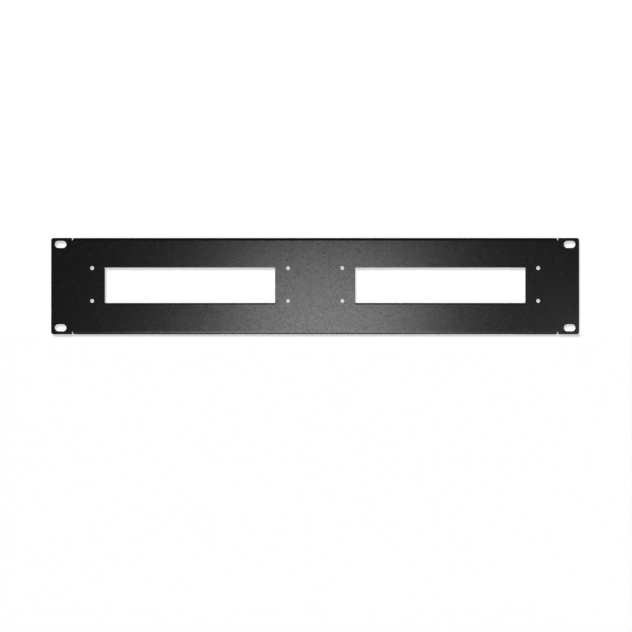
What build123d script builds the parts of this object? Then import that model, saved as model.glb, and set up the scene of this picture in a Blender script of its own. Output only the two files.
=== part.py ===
"""Front panel for a 19-inch rack, two units high, folded from one piece of steel sheet.

The blank is punched flat: two windows with four screw holes each, a slot in every
corner of the ears, and four relief notches. Its long edges are then folded back into
flanges, which stiffen the panel between the ears.

Frame: X runs along the panel's width, Z up its height, and Y into the rack. The
origin is the middle of the four rack slots, on the back of the ears, which is the
plane that seats against the rack's rails. The front face looks towards -Y.
"""

from build123d import *
from math import radians, tan
import os

# Driving dimensions, in millimetres, with angles in degrees

# Outline of the panel and its ears
panel_width = 482.6
panel_height = 88.1
ear_width = 19.3
ear_corner_radius = 2.0

# Sheet and folds
sheet_thickness = 1.5
bend_inner_radius = 1.0
flange_depth = 15.0
flange_corner_radius = 1.5

# Relief notch between each flange and ear
notch_floor_width = 0.2
flange_end_taper = 16.0

# Rack slots, placed by the distance from the ear's edges to the slot's centre
slot_length = 10.4
slot_height = 6.35
slot_centre_to_side = 8.75
slot_centre_to_top = 5.95

# Module windows and the screw holes beside them
module_offset = 114.3
window_width = 155.5
window_height = 32.3
window_raise = 0.75
window_corner_radius = 0.5
screw_hole_diameter = 3.5
screw_hole_to_window = 11.75
screw_row_pitch = 30.0
screw_row_raise = 1.5

# Front edges under the powder coat: rolled over by the punch, widest along the windows'
# lower edges, and just broken on the screw holes
window_edge_round = 0.4
window_lower_edge_round = 1.4
outline_edge_round = 0.4
slot_edge_round = 0.4
screw_hole_edge_break = 0.2

# Places that follow from the sizes above
front_y = -sheet_thickness
rear_y = front_y + flange_depth
bend_outer_radius = bend_inner_radius + sheet_thickness
ear_inner_x = panel_width / 2 - ear_width
bend_line_z = panel_height / 2 - bend_outer_radius
slot_x = panel_width / 2 - slot_centre_to_side
slot_z = panel_height / 2 - slot_centre_to_top
screw_hole_offset = window_width / 2 + screw_hole_to_window
cut_overrun = 1.0

# The front face's own plane: its X is the panel's X, its Y the panel's Z, and its
# normal points out of the rack
front_plane = Plane(origin=(0, front_y, 0), x_dir=(1, 0, 0), z_dir=(0, -1, 0))


def folded_channel() -> Part:
    """Return the panel between its ears: the front web and both flanges, with true bends."""
    inside_depth = flange_depth - sheet_thickness
    inside_height = panel_height - 2 * sheet_thickness
    outer = RectangleRounded(2 * flange_depth, panel_height, bend_outer_radius)
    inner = RectangleRounded(2 * inside_depth, inside_height, bend_inner_radius)
    behind = Rectangle(flange_depth, panel_height, align=(Align.MIN, Align.CENTER))
    section = Plane.YZ * Pos(rear_y, 0) * (outer - inner - behind)
    return extrude(section, ear_inner_x, both=True)


def ears() -> Part:
    """Return the two flat ears, full height, with rounded corners and rolled front edges."""
    outline = RectangleRounded(panel_width, panel_height, ear_corner_radius)
    between_ears = Rectangle(2 * ear_inner_x, panel_height)
    plates = extrude(front_plane * (outline - between_ears), -sheet_thickness)
    front_edges = plates.faces().group_by(Axis.Y)[0].edges()
    free_edges = front_edges.filter_by(lambda edge: abs(edge.center().X) > ear_inner_x + cut_overrun)
    return fillet(free_edges, outline_edge_round)


def relief_cutter() -> Part:
    """Return the cutter for the notch and the trimmed flange end at the upper right corner.

    It leaves a narrow floor on the bend line beside the ear, and a sloped flat that
    trims the fold and the flange, so that the flange's end tapers towards the rear.
    """
    slope = tan(radians(flange_end_taper))
    floor_corner = (ear_inner_x - notch_floor_width, front_y, bend_line_z)
    trim_plane = Plane(origin=floor_corner, z_dir=(1, slope, slope))
    reach = notch_floor_width + slope * (flange_depth + bend_outer_radius) + cut_overrun
    block = Pos(ear_inner_x, front_y - cut_overrun, bend_line_z) * Box(
        reach,
        flange_depth + 2 * cut_overrun,
        bend_outer_radius + cut_overrun,
        align=(Align.MAX, Align.MIN, Align.MIN),
    )
    return split(block, bisect_by=trim_plane, keep=Keep.TOP)


def front_cut_outs() -> Sketch:
    """Return every opening of the front face, on its own plane: windows, screw holes and slots."""
    windows = Locations(*[(side * module_offset, window_raise) for side in (-1, 1)])
    window = RectangleRounded(window_width, window_height, window_corner_radius)
    screws = [
        (side * module_offset + end * screw_hole_offset, screw_row_raise + row * screw_row_pitch / 2)
        for side in (-1, 1)
        for end in (-1, 1)
        for row in (-1, 1)
    ]
    slots = [(side * slot_x, row * slot_z) for side in (-1, 1) for row in (-1, 1)]
    cut_outs = Sketch() + [place * window for place in windows]
    cut_outs += [Pos(*spot) * Circle(screw_hole_diameter / 2) for spot in screws]
    cut_outs += [Pos(*spot) * SlotOverall(slot_length, slot_height) for spot in slots]
    return cut_outs


def front_rims(panel: Part) -> list[ShapeList[Wire]]:
    """Return the rims of the front face's openings in three groups: screw holes, slots and windows."""
    front_face = panel.faces().filter_by(Axis.Y).sort_by(Axis.Y)[0]
    return front_face.inner_wires().group_by(SortBy.LENGTH)


def with_soft_edges(panel: Part) -> Part:
    """Return the panel with its openings' front edges softened and its flanges' rear corners round."""
    rear_edges = panel.edges().group_by(Axis.Y)[-1]
    flange_corners = rear_edges.group_by(SortBy.LENGTH)[0]
    panel = fillet(flange_corners, flange_corner_radius)
    screw_holes, _, _ = front_rims(panel)
    panel = chamfer(screw_holes.edges(), screw_hole_edge_break)
    _, slots, _ = front_rims(panel)
    panel = fillet(slots.edges(), slot_edge_round)
    _, _, windows = front_rims(panel)
    return fillet(windows.edges(), window_edge_round)


def lower_edge_cutters() -> Part:
    """Return the cutters that roll the windows' lower edges over, from side wall to side wall."""
    radius = window_lower_edge_round
    lower_edge_z = window_raise - window_height / 2
    corner = Rectangle(radius + cut_overrun, radius + cut_overrun, align=(Align.MAX, Align.MIN))
    profile = Plane.YZ * Pos(front_y + radius, lower_edge_z - radius) * (corner - Circle(radius))
    cutter = extrude(profile, window_width / 2, both=True)
    return Pos(-module_offset, 0, 0) * cutter + Pos(module_offset, 0, 0) * cutter


def front_panel() -> Part:
    """Return the finished panel as one solid."""
    panel = folded_channel() + ears()
    cutter = relief_cutter()
    pair = cutter + mirror(cutter, about=Plane.YZ)
    panel -= pair + mirror(pair, about=Plane.XY)
    panel -= extrude(front_plane * front_cut_outs(), -(sheet_thickness + cut_overrun))
    return with_soft_edges(panel) - lower_edge_cutters()


os.makedirs("parts", exist_ok=True)
export_step(front_panel(), "parts/front_panel.step")
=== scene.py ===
"""Looks of the rack front panel: its black textured powder coat, and the plain studio it is shown in."""

import logging
import math
from dataclasses import dataclass, field
from enum import Enum
from typing import Any

import bpy
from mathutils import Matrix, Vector


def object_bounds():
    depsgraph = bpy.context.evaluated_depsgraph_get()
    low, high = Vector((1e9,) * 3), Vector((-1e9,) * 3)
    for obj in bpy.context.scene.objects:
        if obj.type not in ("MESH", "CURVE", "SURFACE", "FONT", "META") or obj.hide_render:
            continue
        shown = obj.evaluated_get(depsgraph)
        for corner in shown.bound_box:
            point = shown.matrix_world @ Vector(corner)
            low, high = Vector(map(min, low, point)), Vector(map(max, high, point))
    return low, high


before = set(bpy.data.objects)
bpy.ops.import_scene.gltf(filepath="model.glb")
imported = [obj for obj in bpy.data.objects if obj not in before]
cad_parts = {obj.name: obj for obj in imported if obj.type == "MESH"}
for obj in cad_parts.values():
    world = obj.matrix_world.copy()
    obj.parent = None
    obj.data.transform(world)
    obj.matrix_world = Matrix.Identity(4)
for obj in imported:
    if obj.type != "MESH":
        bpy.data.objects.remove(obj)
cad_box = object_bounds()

MM = 0.001
PANEL_NODE = "front_panel"

log = logging.getLogger("rack_front_panel")


class Space(Enum):
    """Where a texture's coordinates come from."""

    OBJECT = "Object"
    GENERATED = "Generated"


class Facing(Enum):
    """Which way a softbox shines, as its turn about X in degrees."""

    DOWN = 0
    REARWARD = 90
    UP = 180
    FORWARD = 270


@dataclass(frozen=True)
class Value:
    """A shader socket that adds Math nodes when it is used in an expression.

    Attributes:
        sheet: The node tree that the socket is in.
        socket: The output socket.
    """

    sheet: "ShaderSheet"
    socket: Any

    def _math(self, operation: str, first: Any, second: Any = None) -> "Value":
        """Add a Math node.

        Args:
            operation: The Math node's operation.
            first: The left-hand value, a Value or a number.
            second: The right-hand value, or None for an operation of one value.

        Returns:
            The node's output.
        """
        inputs = {0: first} if second is None else {0: first, 1: second}
        return self.sheet.node("ShaderNodeMath", {"operation": operation}, inputs)

    def __add__(self, other: Any) -> "Value":
        """Return self + other."""
        return self._math("ADD", self, other)

    __radd__ = __add__

    def __sub__(self, other: Any) -> "Value":
        """Return self - other."""
        return self._math("SUBTRACT", self, other)

    def __rsub__(self, other: Any) -> "Value":
        """Return other - self."""
        return self._math("SUBTRACT", other, self)

    def __mul__(self, other: Any) -> "Value":
        """Return self * other."""
        return self._math("MULTIPLY", self, other)

    __rmul__ = __mul__

    def at_least(self, other: Any) -> "Value":
        """Return the larger of self and other."""
        return self._math("MAXIMUM", self, other)

    def smooth_step(self, low: float, high: float) -> "Value":
        """Add a smooth step.

        Args:
            low: The value up to which the step is 0.
            high: The value from which the step is 1.

        Returns:
            The step, with a smooth rise from low to high.
        """
        settings = {"interpolation_type": "SMOOTHSTEP"}
        inputs = {"Value": self, "From Min": low, "From Max": high}
        return self.sheet.node("ShaderNodeMapRange", settings, inputs)


class ShaderSheet:
    """A material's or the world's node tree, and the one method that adds nodes to it."""

    MIX_SHARE, MIX_FIRST, MIX_SECOND, MIX_RESULT = 0, 6, 7, 2

    def __init__(self, owner: Any) -> None:
        """Empty the owner's node tree.

        Args:
            owner: A material or a world.
        """
        owner.use_nodes = True
        self.tree = owner.node_tree
        self.tree.nodes.clear()

    def node(self, kind: str, settings: dict[str, Any] | None = None,
             inputs: dict[str | int, Any] | None = None, output: str | int = 0) -> Value:
        """Add a node.

        Args:
            kind: The node's type name.
            settings: Properties of the node, set before its sockets.
            inputs: Socket name or number, with a Value to link or a plain value to set.
            output: Name or number of the output to return.

        Returns:
            The chosen output.
        """
        node = self.tree.nodes.new(kind)
        for name, setting in (settings or {}).items():
            setattr(node, name, setting)
        for name, value in (inputs or {}).items():
            if isinstance(value, Value):
                self.tree.links.new(value.socket, node.inputs[name])
            else:
                node.inputs[name].default_value = value
        return Value(self, node.outputs[output] if len(node.outputs) else None)

    def coordinates(self, space: Space) -> Value:
        """Return the coordinates of the given space."""
        return self.node("ShaderNodeTexCoord", output=space.value)

    def blend(self, share: Value, first: tuple[float, ...], second: tuple[float, ...]) -> Value:
        """Return a colour that goes from first to second as share goes from 0 to 1."""
        inputs = {self.MIX_SHARE: share, self.MIX_FIRST: first, self.MIX_SECOND: second}
        return self.node("ShaderNodeMix", {"data_type": "RGBA"}, inputs, self.MIX_RESULT)

    def component(self, vector: Value, axis: int) -> Value:
        """Return one component of a vector: axis 0 is X, 1 is Y and 2 is Z."""
        return self.node("ShaderNodeSeparateXYZ", {}, {0: vector}, axis)


@dataclass(frozen=True)
class PowderCoat:
    """Black powder coat, which cures to a fine pebble on a longer, shallow orange peel.

    Attributes:
        name: The material's name.
        black: The coat's own grey.
        tone_spread: How far the grey may wander to each side, as a share of it.
        roughness: Mean roughness of the gloss.
        roughness_spread: How far the roughness may wander to each side.
        pebble_size: Width of one pebble, in metres.
        pebble_depth: Height of the pebbles, in metres.
        peel_size: Width of one wave of the orange peel, in metres.
        peel_depth: Height of the orange peel, in metres.
        film_size: Width of the spots where clear resin has pooled, in metres.
        film_low: Noise value at which the clear film starts.
        film_high: Noise value at which it is whole.
        index: Refractive index of the resin.
    """

    name: str = "black_powder_coat"
    black: float = 0.0060
    tone_spread: float = 0.30
    roughness: float = 0.25
    roughness_spread: float = 0.10
    pebble_size: float = 0.8 * MM
    pebble_depth: float = 0.012 * MM
    peel_size: float = 2.2 * MM
    peel_depth: float = 0.015 * MM
    film_size: float = 0.6 * MM
    film_low: float = 0.35
    film_high: float = 0.65
    index: float = 1.5

    def material(self) -> bpy.types.Material:
        """Make the coat.

        Returns:
            The coat as a material.
        """
        material = bpy.data.materials.new(self.name)
        sheet = ShaderSheet(material)
        place = sheet.coordinates(Space.OBJECT)
        pebble = self._waves(sheet, place, self.pebble_size)
        peel = self._waves(sheet, place, self.peel_size)
        film = self._waves(sheet, place, self.film_size).smooth_step(self.film_low, self.film_high)
        wander = pebble + peel - 1.0
        height = pebble * self.pebble_depth + peel * self.peel_depth
        bump = sheet.node("ShaderNodeBump", {}, {"Strength": 1.0, "Distance": 1.0, "Height": height})
        dark, light = self._tone(1 - self.tone_spread), self._tone(1 + self.tone_spread)
        shader = sheet.node("ShaderNodeBsdfPrincipled", {}, {
            "Base Color": sheet.blend(wander * 0.5 + 0.5, dark, light),
            "Roughness": wander * self.roughness_spread + self.roughness,
            "IOR": self.index,
            "Coat Weight": film,
            "Coat Roughness": self.roughness,
            "Coat IOR": self.index,
            "Normal": bump,
        })
        sheet.node("ShaderNodeOutputMaterial", {}, {"Surface": shader})
        return material

    def _tone(self, share: float) -> tuple[float, ...]:
        """Return the coat's grey times share, as a colour."""
        return (self.black * share, self.black * share, self.black * share, 1.0)

    def _waves(self, sheet: ShaderSheet, place: Value, size: float) -> Value:
        """Return soft noise whose waves are about size wide."""
        inputs = {"Vector": place, "Scale": 1 / size, "Detail": 1.0, "Roughness": 0.5}
        return sheet.node("ShaderNodeTexNoise", {"noise_dimensions": "3D"}, inputs)


@dataclass
class FoldedPanel:
    """The one-piece panel, carried over from the frame and given its coat.

    Attributes:
        coat: The finish that covers it all over.
    """

    coat: PowderCoat = field(default_factory=PowderCoat)

    def build(self) -> bpy.types.Object:
        """Dress the panel's own node.

        Returns:
            The node's object.
        """
        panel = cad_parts[PANEL_NODE]
        panel.data.materials.clear()
        panel.data.materials.append(self.coat.material())
        log.info("panel dressed in %s", self.coat.name)
        return panel


@dataclass(frozen=True)
class Sun:
    """A distant lamp that lights the coat's own grey and casts the shadows, but never shows in gloss.

    Attributes:
        name: The lamp's name.
        left: How far it stands to the left of the panel's axis, in degrees.
        above: How far it stands above the panel's axis, in degrees, so that 90 is overhead.
        level: Its light on a surface that faces it, where 1 shows a colour as written.
        softness: Its width across, in degrees.
    """

    name: str
    left: float
    above: float
    level: float
    softness: float

    def build(self) -> None:
        """Make the lamp."""
        lamp = bpy.data.lights.new(self.name, "SUN")
        lamp.energy = self.level * math.pi
        lamp.angle = math.radians(self.softness)
        left, above = math.radians(self.left), math.radians(self.above)
        towards_lamp = Vector((-math.sin(left), -math.cos(left) * math.cos(above), math.sin(above)))
        holder = bpy.data.objects.new(self.name, lamp)
        holder.rotation_mode = "QUATERNION"
        holder.rotation_quaternion = towards_lamp.to_track_quat("Z", "Y")
        holder.visible_glossy = False
        bpy.context.scene.collection.objects.link(holder)


@dataclass(frozen=True)
class Softbox:
    """A flat soft lamp that shows only in gloss: it shapes the sheen and casts no shadow.

    Attributes:
        name: The lamp's name.
        centre: Its middle, in metres.
        size: Its width along X and its other side, in metres.
        brightness: How bright it looks, where 1 is white paper.
        facing: Which way it shines.
    """

    name: str
    centre: tuple[float, float, float]
    size: tuple[float, float]
    brightness: float
    facing: Facing = Facing.REARWARD

    def build(self) -> None:
        """Make the lamp."""
        lamp = bpy.data.lights.new(self.name, "AREA")
        lamp.shape = "RECTANGLE"
        lamp.size, lamp.size_y = self.size
        lamp.energy = self.brightness * math.pi * math.prod(self.size)
        holder = bpy.data.objects.new(self.name, lamp)
        holder.location = self.centre
        holder.rotation_euler = (math.radians(self.facing.value), 0, 0)
        holder.visible_camera = False
        holder.visible_diffuse = False
        bpy.context.scene.collection.objects.link(holder)


@dataclass
class Studio:
    """A plain pale floor, a backdrop close behind the panel, and soft lights.

    Attributes:
        reach: Half the width and depth of the floor and the backdrop, in metres.
        backdrop_gap: Gap between the flanges' rear edges and the backdrop, in metres.
        paper: Grey of the floor and the backdrop.
        paper_lift: Light that the paper gives to the camera alone, so that it stays white.
        wall_level: Brightness of the pale wall behind, which only the panel's back reflects.
        wall_foot: Upward share of the direction over which the wall comes in.
        wall_top: Upward share of the direction over which the wall goes out.
        wall_sides: Rearward share of the direction over which the wall comes in.
        room_dimness: Brightness of the rest of the room.
        lamps: The suns and the softboxes.
    """

    reach: float = 6.0
    backdrop_gap: float = 1.0 * MM
    paper: float = 0.6
    paper_lift: float = 0.60
    wall_level: float = 0.5
    wall_foot: tuple[float, float] = (-0.9, -0.45)
    wall_top: tuple[float, float] = (0.1, 0.5)
    wall_sides: tuple[float, float] = (0.0, 0.7)
    room_dimness: float = 0.02
    lamps: tuple[Sun | Softbox, ...] = (
        Sun("front_sun", left=4.5, above=8.2, level=0.65, softness=6.5),
        Sun("rear_sun", left=0.0, above=144.0, level=0.85, softness=30.0),
        Softbox("front_softbox", (0.0125, -0.525, -0.018), (0.155, 0.104), 4.45),
        Softbox("middle_softbox", (-0.0050, -0.525, -0.140), (0.222, 0.140), 4.1),
        Softbox("lower_softbox", (-0.0113, -0.525, -0.471), (0.261, 0.522), 4.35),
        Softbox("right_softbox", (0.348, -0.525, -0.296), (0.218, 0.522), 1.15),
        Softbox("table_softbox", (0.0, -0.22, -0.74), (0.31, 0.61), 0.75, Facing.UP),
        Softbox("overhead_softbox", (0.0, 0.41, 0.65), (0.70, 0.38), 0.6, Facing.DOWN),
        Softbox("rear_softbox", (0.05, 0.6, -0.13), (0.28, 0.26), 2.2, Facing.FORWARD),
        Softbox("rear_left_softbox", (-0.60, 0.6, -0.22), (0.34, 0.30), 2.2, Facing.FORWARD),
        Softbox("rear_right_softbox", (0.60, 0.6, -0.22), (0.34, 0.30), 2.2, Facing.FORWARD),
    )

    def build(self) -> None:
        """Make the floor, the backdrop, the world and the lamps."""
        low, high = cad_box
        paper = self._paper_material()
        back = Vector((0, high.y + self.backdrop_gap, 0))
        floor = self._plane("floor", Vector((0, 0, low.z)), 0.0, paper)
        backdrop = self._plane("backdrop", back, math.pi / 2, paper)
        for sheet in (floor, backdrop):
            sheet.visible_glossy = False
            sheet.visible_shadow = False
        backdrop.visible_diffuse = False
        self._world()
        for lamp in self.lamps:
            lamp.build()
        log.info("studio ready, with %d lamps", len(self.lamps))

    def _plane(self, name: str, centre: Vector, turn: float,
               material: bpy.types.Material) -> bpy.types.Object:
        """Make a square sheet.

        Args:
            name: The object's name.
            centre: Its middle.
            turn: Its turn about X, in radians: 0 lies flat and faces up.
            material: What it is made of.

        Returns:
            The object.
        """
        corners = [(-self.reach, -self.reach, 0), (self.reach, -self.reach, 0),
                   (self.reach, self.reach, 0), (-self.reach, self.reach, 0)]
        mesh = bpy.data.meshes.new(name)
        mesh.from_pydata(corners, [], [(0, 1, 2, 3)])
        mesh.materials.append(material)
        plane = bpy.data.objects.new(name, mesh)
        plane.location = centre
        plane.rotation_euler = (turn, 0, 0)
        bpy.context.scene.collection.objects.link(plane)
        return plane

    def _paper_material(self) -> bpy.types.Material:
        """Make the paper, which keeps shadows and is clear from behind.

        Returns:
            The paper as a material.
        """
        material = bpy.data.materials.new("studio_paper")
        sheet = ShaderSheet(material)
        grey = (self.paper, self.paper, self.paper, 1)
        diffuse = sheet.node("ShaderNodeBsdfDiffuse", {}, {"Color": grey})
        glow = sheet.node("ShaderNodeLightPath", output="Is Camera Ray") * self.paper_lift
        lift = sheet.node("ShaderNodeEmission", {}, {"Color": (1, 1, 1, 1), "Strength": glow})
        front = sheet.node("ShaderNodeAddShader", {}, {0: diffuse, 1: lift})
        clear = sheet.node("ShaderNodeBsdfTransparent")
        behind = sheet.node("ShaderNodeNewGeometry", output="Backfacing")
        shader = sheet.node("ShaderNodeMixShader", {}, {0: behind, 1: front, 2: clear})
        sheet.node("ShaderNodeOutputMaterial", {}, {"Surface": shader})
        return material

    def _world(self) -> None:
        """Make the world: white to the camera, and a dim room with a pale wall behind to all else."""
        world = bpy.data.worlds.new("studio_world")
        bpy.context.scene.world = world
        sheet = ShaderSheet(world)
        direction = sheet.coordinates(Space.GENERATED)
        upward = sheet.component(direction, 2)
        band = upward.smooth_step(*self.wall_foot) * (1.0 - upward.smooth_step(*self.wall_top))
        wall = sheet.component(direction, 1).smooth_step(*self.wall_sides) * band
        room = wall * self.wall_level + self.room_dimness
        camera_ray = sheet.node("ShaderNodeLightPath", output="Is Camera Ray")
        level = room.at_least(camera_ray)
        background = sheet.node("ShaderNodeBackground", {}, {"Color": (1, 1, 1, 1), "Strength": level})
        sheet.node("ShaderNodeOutputWorld", {}, {"Surface": background})


@dataclass(frozen=True)
class ProductCamera:
    """The camera, square to the panel's width and a hair below level.

    From there it sees the floor's clear underside, and the backdrop right behind the panel
    keeps the shadows, as in a picture of a panel laid on paper and seen from above.

    Attributes:
        distance: From the panel's front face, in metres.
        elevation: Above the horizon, in degrees.
        image_width: The image's width, in pixels.
        panel_width_seen: The panel's width in the image, in pixels.
        panel_centre: Where the panel's middle falls in the image, in pixels from its top left.
        far_clip: How far the camera sees, in metres.
    """

    distance: float = 12.0
    elevation: float = -0.3
    image_width: float = 632.0
    panel_width_seen: float = 528.1
    panel_centre: tuple[float, float] = (315.12, 286.10)
    far_clip: float = 100.0

    def build(self) -> None:
        """Make the camera and give it to the scene."""
        low, high = cad_box
        pixel = (high.x - low.x) / self.panel_width_seen
        across = (self.image_width / 2 - self.panel_centre[0]) * pixel
        down = (self.image_width / 2 - self.panel_centre[1]) * pixel
        aim = Vector((across, low.y, -down))
        tilt = math.radians(self.elevation)
        back = Vector((0, -math.cos(tilt), math.sin(tilt)))
        lens = bpy.data.cameras.new("product_camera")
        lens.lens = lens.sensor_width * self.distance / (self.image_width * pixel)
        lens.clip_end = self.far_clip
        camera = bpy.data.objects.new("product_camera", lens)
        camera.location = aim + back * self.distance
        camera.rotation_mode = "QUATERNION"
        camera.rotation_quaternion = (-back).to_track_quat("-Z", "Y")
        bpy.context.scene.collection.objects.link(camera)
        bpy.context.scene.camera = camera
        log.info("camera %.2f m away, lens %.1f mm", self.distance, lens.lens)


def main() -> None:
    """Dress the panel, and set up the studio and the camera."""
    logging.basicConfig(level=logging.INFO, format="%(message)s")
    bpy.context.scene.view_settings.view_transform = "Standard"
    FoldedPanel().build()
    Studio().build()
    ProductCamera().build()


if __name__ == "__main__":
    main()
